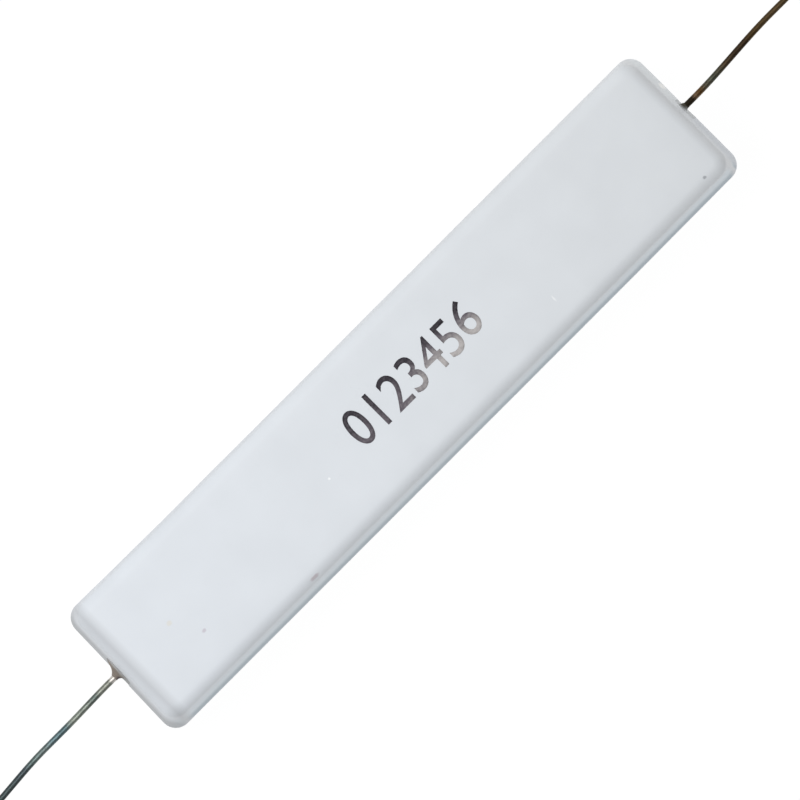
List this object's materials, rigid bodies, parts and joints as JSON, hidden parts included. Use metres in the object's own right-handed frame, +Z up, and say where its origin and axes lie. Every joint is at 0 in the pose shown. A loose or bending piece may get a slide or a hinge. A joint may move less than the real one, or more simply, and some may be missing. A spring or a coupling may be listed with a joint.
{
  "type": "axial wirewound resistor",
  "caption": "Long rectangular white ceramic power resistor, filled with cement, with a thin wire lead out of each end.",
  "frame": {"origin": "middle of the open, cement-filled side of the case, on the surface that the part rests on", "axes": "+X along the case to the right lead, +Y across the case, +Z up through the closed face"},
  "size_m": [0.1324, 0.0126, 0.0115],
  "materials": {
    "white_ceramic": "matt, faintly satin",
    "potting_cement": "rough",
    "core_ceramic": "matt",
    "resistance_alloy": "satin",
    "tinned_cap": "satin",
    "tinned_lead": "dulled tin"
  },
  "bodies": {
    "root": {"ceramic_case": "white_ceramic", "cement_fill": "potting_cement", "ceramic_core": "core_ceramic", "resistance_wire": "resistance_alloy", "end_cap_left": "tinned_cap", "end_cap_right": "tinned_cap", "lead_left": "tinned_lead", "lead_right": "tinned_lead"}
  },
  "joints": []
}
